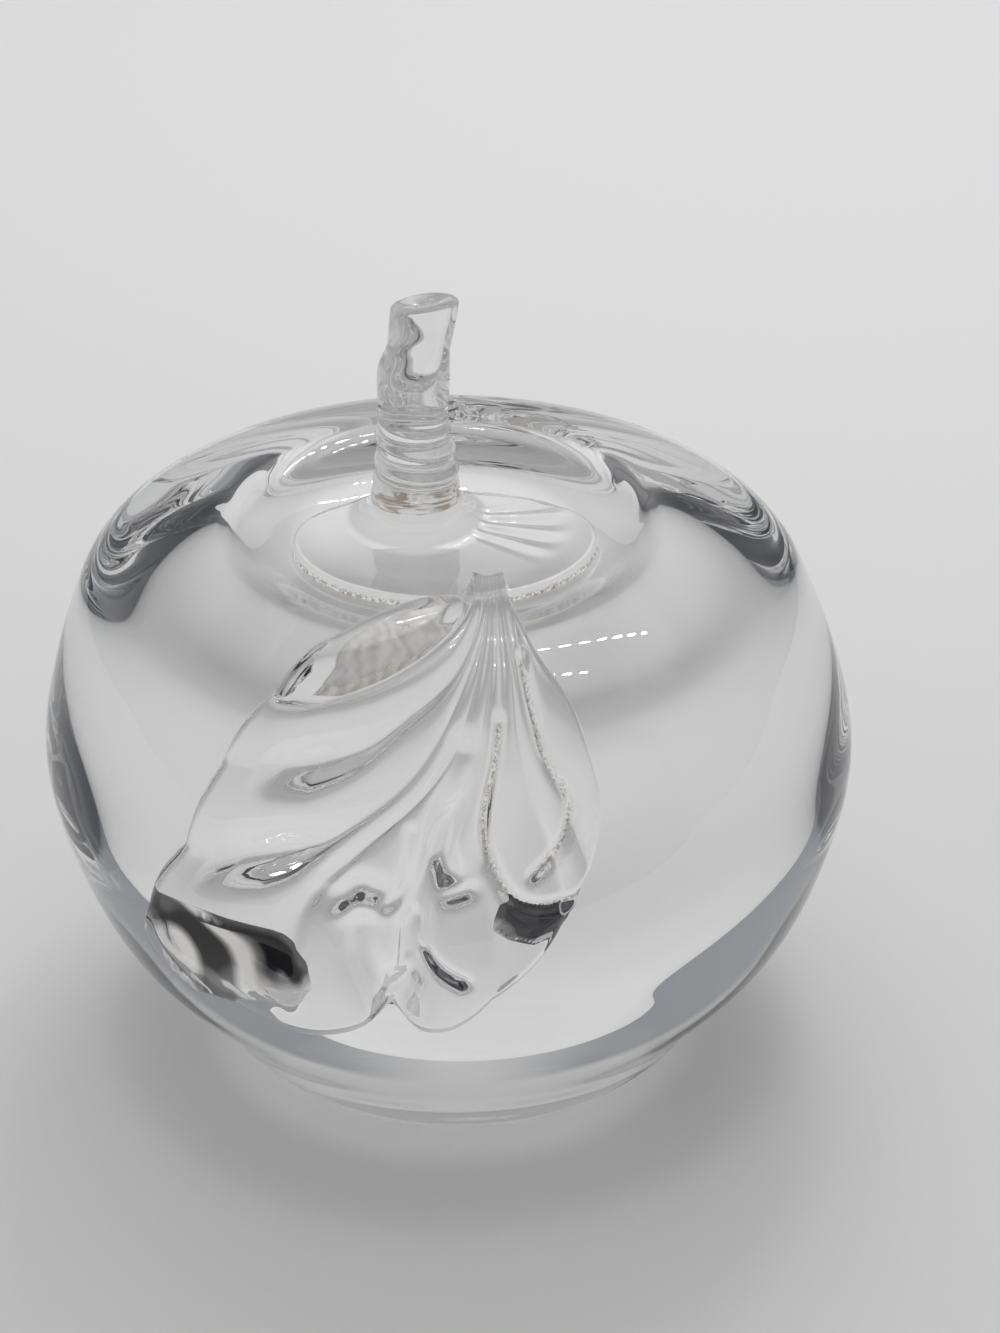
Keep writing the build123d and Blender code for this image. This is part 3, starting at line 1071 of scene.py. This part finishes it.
# %% The whole stem
def index_rows(rows, turns):
    """Number the points of the rings; a ring of one point closes the skin."""
    points, index = [], []
    for row in rows:
        first = len(points)
        points.extend(row.tolist())
        index.append([first] * turns if len(row) == 1 else list(range(first, first + turns)))
    return np.array(points), index


stem_points, stem_index = index_rows(foot_rows(stem_turns) + stalk_rows(stem_turns), stem_turns)
stem = add_piece("stem_and_foot", stem_points, ring_faces(stem_index, stem_turns), [stem_crystal, weld])
report_piece(stem)

# %% [markdown]
# The welds. Under the foot, and where the leaf is joined, both skins get the finish of the hot join.
# The leaf's underside has two finishes more: dusty under the first flute, and a painted shade and painted
# reflection elsewhere.

# %% Where the gathers are joined
def is_under_foot(points):
    """Points of the dimple that lie inside the foot's edge."""
    radius, angle = np.hypot(points[:, 0], points[:, 1]), np.arctan2(points[:, 1], points[:, 0])
    return (points[:, 2] > apple_height / 2) & (radius < foot_edge_radius(angle))


def face_middles(points, faces):
    """Middle of every face."""
    return np.array([points[list(face)].mean(axis=0) for face in faces])


body_joined = np.array(body_joined) | is_under_foot(face_middles(body_points, body_faces))
apple.data.polygons.foreach_set("material_index", body_joined.astype(np.int32))

stem_faces = [tuple(polygon.vertices) for polygon in stem.data.polygons]
stem_middles = face_middles(stem_points, stem_faces)
under_leaf = (stem_middles[:, 2] < apple_height) & (join_depth(skin_place(stem_middles)) > 0)
stem_joined = under_leaf | (np.arange(len(stem_faces)) < under_rings * stem_turns)
stem.data.polygons.foreach_set("material_index", stem_joined.astype(np.int32))

lower_middles = face_middles(np.concatenate([board_points, under_flat]), lower_faces)
in_dust = inside_distance(lower_middles, on_board(dusty_loose[0])) > 0
# Faces under the curled tip and in the pocket get the painted shade and painted reflection.
lower_finish = np.where(lower_joined, 1, np.where(in_dust, 2, 3))
leaf_finish = np.concatenate([np.zeros(len(upper_faces) + len(strip_faces), int), lower_finish])
leaf.data.polygons.foreach_set("material_index", leaf_finish.astype(np.int32))
print("joined faces:", int(body_joined.sum()), int(stem_joined.sum()))
print("leaf's finishes:", np.bincount(leaf_finish))

# %% [markdown]
# Two shares on the points tell the finishes where to work. The painted shade and painted reflection is full
# inside the dark outline of the curled tip and weak in the small pocket. Dust follows the oval and the line
# inside it, the crumpled neck, and the corner where the edge of the foot meets the apple.

# %% Shade and dust
dark_outline = [
    (-0.76, 0.73), (-0.68, 0.745), (-0.59, 0.77), (-0.48, 0.80), (-0.43, 0.84), (-0.40, 0.89),
    (-0.43, 0.92), (-0.48, 0.89), (-0.53, 0.90), (-0.56, 0.87), (-0.60, 0.88), (-0.66, 0.85),
    (-0.72, 0.81),
]
pocket_shade = 0.22
neck_crumbs = [(-0.06, 0.10), (-0.02, 0.04), (0.01, 0.02), (0.05, 0.03)]
dusty_lines = [(oval_line, 0.3), (inner_line, 0.25), (neck_crumbs, 0.9)]
foot_dust_width = 0.12


def foot_dust(points):
    """Dust sits in the corner between the foot's edge and the apple."""
    radius, angle = np.hypot(points[:, 0], points[:, 1]), np.arctan2(points[:, 1], points[:, 0])
    on_foot = points[:, 2] < apple_height + 1
    return on_foot * np.exp(-((foot_edge_radius(angle) - radius) / foot_dust_width) ** 2)


# Painted shade: full under the curled tip, weak in the small pocket.
in_tip = smooth_step(inside_distance(board_points, on_board(dark_outline)), 0, 0.5)
in_pocket = smooth_step(inside_distance(board_points, on_board(pocket_loose[0])), 0, 0.4)
shade = np.maximum(in_tip, pocket_shade * in_pocket)
dust = np.zeros(len(board_points))
for shares, spread in dusty_lines:
    from_line = line_distance(board_points, even_curve(on_board(shares), 40))
    dust = np.maximum(dust, np.exp(-(from_line / spread) ** 2))
set_share(leaf, "shade", np.tile(shade, 2))
set_share(leaf, "dust", np.tile(dust, 2))
set_share(stem, "dust", foot_dust(stem_points))
print("shaded points", int((shade > 0.5).sum()), "dusty points", int((dust > 0.5).sum()))

# %% [markdown]
# Light is bent the right way only if the faces point out of the glass, so a skin whose volume comes
# out negative is turned round.

# %% Faces outwards
for piece in (apple, stem, leaf):
    if signed_volume(piece) < 0:
        piece.data.flip_normals()
        print("turned", piece.name, "the right way out")

# %% [markdown]
# Each finished piece takes the place of one solid of the frame, which is hidden. Nothing moves on this
# object, so all three ride on the same body.

# %% Pieces ride on the frame, and its nodes are hidden
for piece, cad_node, slot_name in (
        (apple, "apple_body", "body_glass"), (stem, "stem", "stem_glass"), (leaf, "leaf", "leaf_glass")):
    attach(piece, "root")
    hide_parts(cad_node)
    print(piece.name, "stands for", cad_node)

# %% [markdown]
# The table is a pale matt sheet. The apple works as a lens: it gathers the light that falls on it into
# the middle of its shadow, and leaves the table darker in a ring round its foot. To trace such light
# takes a very long time, so both are painted, by the distance from the middle.

# %% The floor
floor_grey = 0.8
floor_half = 0.5
floor_front, floor_back = -0.22, 0.60
floor_height = -0.3 * MM
gathered_radius = 26 * MM
gathered_light = 0.10
ring_reach = 80 * MM
ring_shade = 0.82
ring_levels = [(0, 1), (1, 1), (0.32, 1), (0.39, ring_shade), (0.45, ring_shade), (0.54, 0.96), (0.64, 1)]


def floor_paint():
    """Pale paint with the gathered light in the middle of the shadow and the darker ring round it."""
    paint, tree, shader = new_material(
        "pale_floor", {"Roughness": 0.9, "Emission Color": (1, 0.99, 0.97, 1)})
    place = node(tree, "ShaderNodeTexCoord").outputs["Object"]
    from_middle = node(tree, "ShaderNodeVectorMath", {0: place}, operation="LENGTH").outputs["Value"]
    gathered = node(tree, "ShaderNodeMapRange", {
        "Value": from_middle, "From Min": gathered_radius, "From Max": 0.6 * gathered_radius,
        "To Max": gathered_light}, interpolation_type="SMOOTHSTEP")
    feed(tree, shader.inputs["Emission Strength"], gathered.outputs[0])
    reach = maths(tree, "MINIMUM", maths(tree, "DIVIDE", from_middle, ring_reach), 1)
    ring = node(tree, "ShaderNodeFloatCurve", {"Value": reach})
    curve_points = ring.mapping.curves[0].points
    for k, level in enumerate(ring_levels):
        if k < 2:
            curve_points[k].location = level
        else:
            curve_points.new(*level)
    ring.mapping.update()
    grey = maths(tree, "MULTIPLY", ring.outputs[0], floor_grey)
    colour = node(tree, "ShaderNodeCombineColor", {0: grey, 1: grey, 2: grey})
    feed(tree, shader.inputs["Base Color"], colour.outputs[0])
    return paint


def add_prop(name, points, faces, material):
    """A plain mesh with one material, linked to the scene."""
    mesh = bpy.data.meshes.new(name)
    mesh.from_pydata(points, [], faces)
    mesh.materials.append(material)
    prop = bpy.data.objects.new(name, mesh)
    bpy.context.scene.collection.objects.link(prop)
    print(name, len(faces), "faces")
    return prop


floor = add_prop("floor", [
    (-floor_half, floor_front, floor_height), (floor_half, floor_front, floor_height),
    (floor_half, floor_back, floor_height), (-floor_half, floor_back, floor_height),
], [(0, 1, 2, 3)], floor_paint())

# %% [markdown]
# Two rows of small square lamps hang above and behind the apple. They are seen only as short rows of
# bright dashes, mirrored on the front of the skin.

# %% The lamps
lamp_height = 400
lamp_rows = [(-14, 156, 280), (59, 118, 168)]
lamp_pitch = 14
lamp_size = 7
lamp_power = 120


def lamp_chips():
    """Small square lamps in two rows, as one mesh that shines downwards."""
    points, faces = [], []
    h = lamp_size / 2
    for low, high, y in lamp_rows:
        for k in range(int((high - low) / lamp_pitch)):
            x = low + k * lamp_pitch
            first = len(points)
            points += [(x - h, y - h, lamp_height), (x - h, y + h, lamp_height),
                       (x + h, y + h, lamp_height), (x + h, y - h, lamp_height)]
            faces.append((first, first + 1, first + 2, first + 3))
    glow = new_material("lamp_glow", {"Emission Color": (1, 1, 1, 1), "Emission Strength": lamp_power})[0]
    return add_prop("lamps", (np.array(points) * MM).tolist(), faces, glow)


lamps = lamp_chips()

# %% [markdown]
# A wide soft light above the table gives the soft shadow. The glass doesn't show it, because the room
# below already holds the pale ceiling that the glass shows.

# %% The soft light above
ceiling_power = 1.8
ceiling_data = bpy.data.lights.new("ceiling_light", "AREA")
ceiling_data.shape = "RECTANGLE"
ceiling_data.size = 1.0
ceiling_data.size_y = 0.6
ceiling_data.energy = ceiling_power
ceiling = bpy.data.objects.new("ceiling_light", ceiling_data)
ceiling.location = (0.04, 0.60, 0.90)
ceiling.visible_glossy = False
ceiling.visible_transmission = False
bpy.context.scene.collection.objects.link(ceiling)
print("soft light", ceiling_power, "watts")

# %% [markdown]
# In clear glass the room is the picture. The tones of the room are chosen by direction: a dark
# opening in front, through which the picture is taken, gives the dark bands at the shoulders, pale
# walls give the clear middle, and a lower, darker band gives the grey towards the foot. A bright
# patch above and behind is mirrored by the outer skin only. Matt things such as the table get a
# plain soft light instead, brighter from behind.

# %% The room
backdrop_light = 0.68
wall_light = 0.52
low_wall_light = 0.27
roof_light = 0.33
opening_light = (0.010, 0.012, 0.020)
low_wall_tint = (0.94, 0.98, 1.06)
opening_half_angle = 67
opening_top = 1.25
low_wall_top = 0.33
roof_start = 0.9
back_start, back_full = 160, 180
glow_light = 2.6
glow_place = (0.05, 0.61, 0.79)
glow_edge = 0.93
soft_front, soft_back = 0.44, 0.78
through_glass = 0.9


def band(tree, value, low, high):
    """0 at low, 1 at high, and an easy step between; low may be the greater one."""
    return node(tree, "ShaderNodeMapRange", {"Value": value, "From Min": low, "From Max": high},
                interpolation_type="SMOOTHSTEP").outputs[0]


def full_colour(tone):
    """A grey or a colour with its alpha; another node's output stays as it is."""
    if isinstance(tone, float):
        return (tone, tone, tone, 1)
    return (*tone, 1) if isinstance(tone, tuple) else tone


def blend(tree, factor, under, over):
    """One tone over another, as far as the factor says."""
    return node(tree, "ShaderNodeMix", {
        "Factor": factor, "A": full_colour(under), "B": full_colour(over)},
        data_type="RGBA").outputs["Result"]


def room_tones(tree, path):
    """What the glass sees in each direction."""
    direction = node(tree, "ShaderNodeTexCoord").outputs["Generated"]
    where = node(tree, "ShaderNodeSeparateXYZ", {0: direction}).outputs
    forward = maths(tree, "MULTIPLY", where["Y"], -1)
    bearing = maths(tree, "ABSOLUTE", maths(tree, "ARCTAN2", where["X"], forward))
    squares = [maths(tree, "POWER", where[axis], 2) for axis in ("X", "Y")]
    rise = maths(tree, "DIVIDE", where["Z"], maths(tree, "SQRT", maths(tree, "ADD", *squares)))
    low_pale = tuple(low_wall_light * share for share in low_wall_tint)
    at_back = band(tree, bearing, math.radians(back_start), math.radians(back_full))
    low = blend(tree, at_back, low_pale, wall_light)
    above = blend(tree, band(tree, rise, roof_start - 0.3, roof_start + 0.3), wall_light, roof_light)
    walls = blend(tree, band(tree, rise, low_wall_top + 0.1, low_wall_top - 0.1), above, low)
    to_glow = node(tree, "ShaderNodeVectorMath", {0: direction, 1: glow_place}, operation="DOT_PRODUCT")
    glow = band(tree, to_glow.outputs["Value"], glow_edge - 0.05, glow_edge + 0.05)
    on_skin_only = maths(tree, "LESS_THAN", path["Transmission Depth"], 0.5)
    mirrored = maths(tree, "MULTIPLY", path["Is Glossy Ray"], on_skin_only)
    walls = blend(tree, maths(tree, "MULTIPLY", glow, mirrored), walls, glow_light)
    ahead = band(tree, bearing, math.radians(opening_half_angle + 3), math.radians(opening_half_angle - 3))
    under_top = band(tree, rise, opening_top + 0.1, opening_top - 0.1)
    seen = blend(tree, maths(tree, "MULTIPLY", ahead, under_top), walls, opening_light)
    return where["Y"], seen


def room():
    """The room's light by direction, the plain backdrop, and the soft light for matt things."""
    world = bpy.data.worlds.new("room")
    bpy.context.scene.world = world
    world.use_nodes = True
    tree = world.node_tree
    tree.nodes.clear()
    path = node(tree, "ShaderNodeLightPath").outputs
    backwards, seen = room_tones(tree, path)
    direct = blend(tree, path["Is Camera Ray"], seen, backdrop_light)
    back_share = node(tree, "ShaderNodeMapRange", {"Value": backwards, "From Min": -1}).outputs[0]
    soft = blend(tree, back_share, soft_front, soft_back)
    scattered = maths(tree, "GREATER_THAN", path["Diffuse Depth"], 0.5)
    through = maths(tree, "MULTIPLY", scattered, path["Is Transmission Ray"])
    strength = node(tree, "ShaderNodeMapRange", {
        "Value": through, "To Min": 1, "To Max": through_glass}).outputs[0]
    light = node(tree, "ShaderNodeBackground", {
        "Color": blend(tree, scattered, direct, soft), "Strength": strength}).outputs[0]
    node(tree, "ShaderNodeOutputWorld", {0: light})
    print("room:", len(tree.nodes), "nodes")


room()

# %% [markdown]
# The camera stands in front and above, as in the photograph. It looks a little past the apple, so
# that the middle of the picture and the way the lens looks fall on the photographed places.

# %% The camera
image_width, image_height = 1000, 1333
camera_rise = math.radians(34)
camera_distance = 0.4
camera_target = Vector((0, 0, 0.030))
focal_pixels = 3515
centre_pixel = (449, 792)
camera_data = bpy.data.cameras.new("camera")
camera = bpy.data.objects.new("camera", camera_data)
bpy.context.scene.collection.objects.link(camera)
away = Vector((0, -math.cos(camera_rise), math.sin(camera_rise)))
camera.location = camera_target + away * camera_distance
camera_data.sensor_fit = "VERTICAL"
camera_data.sensor_height = 36
camera_data.lens = focal_pixels / image_height * camera_data.sensor_height
camera_data.clip_start = 0.01
up = Vector((0, math.sin(camera_rise), math.cos(camera_rise)))
aim = -away * focal_pixels + up * (centre_pixel[1] - image_height / 2)
aim += Vector((image_width / 2 - centre_pixel[0], 0, 0))
camera.rotation_mode = "QUATERNION"
camera.rotation_quaternion = aim.to_track_quat("-Z", "Y")
bpy.context.scene.camera = camera
print("camera at", [round(value, 3) for value in camera.location])

# %% [markdown]
# Light enters solid glass, turns inside it many times and leaves again, so a path may be long.

# %% How far light is followed
scene = bpy.context.scene
scene.view_settings.view_transform = "Standard"
scene.cycles.max_bounces = 32
scene.cycles.transmission_bounces = 32
scene.cycles.glossy_bounces = 16
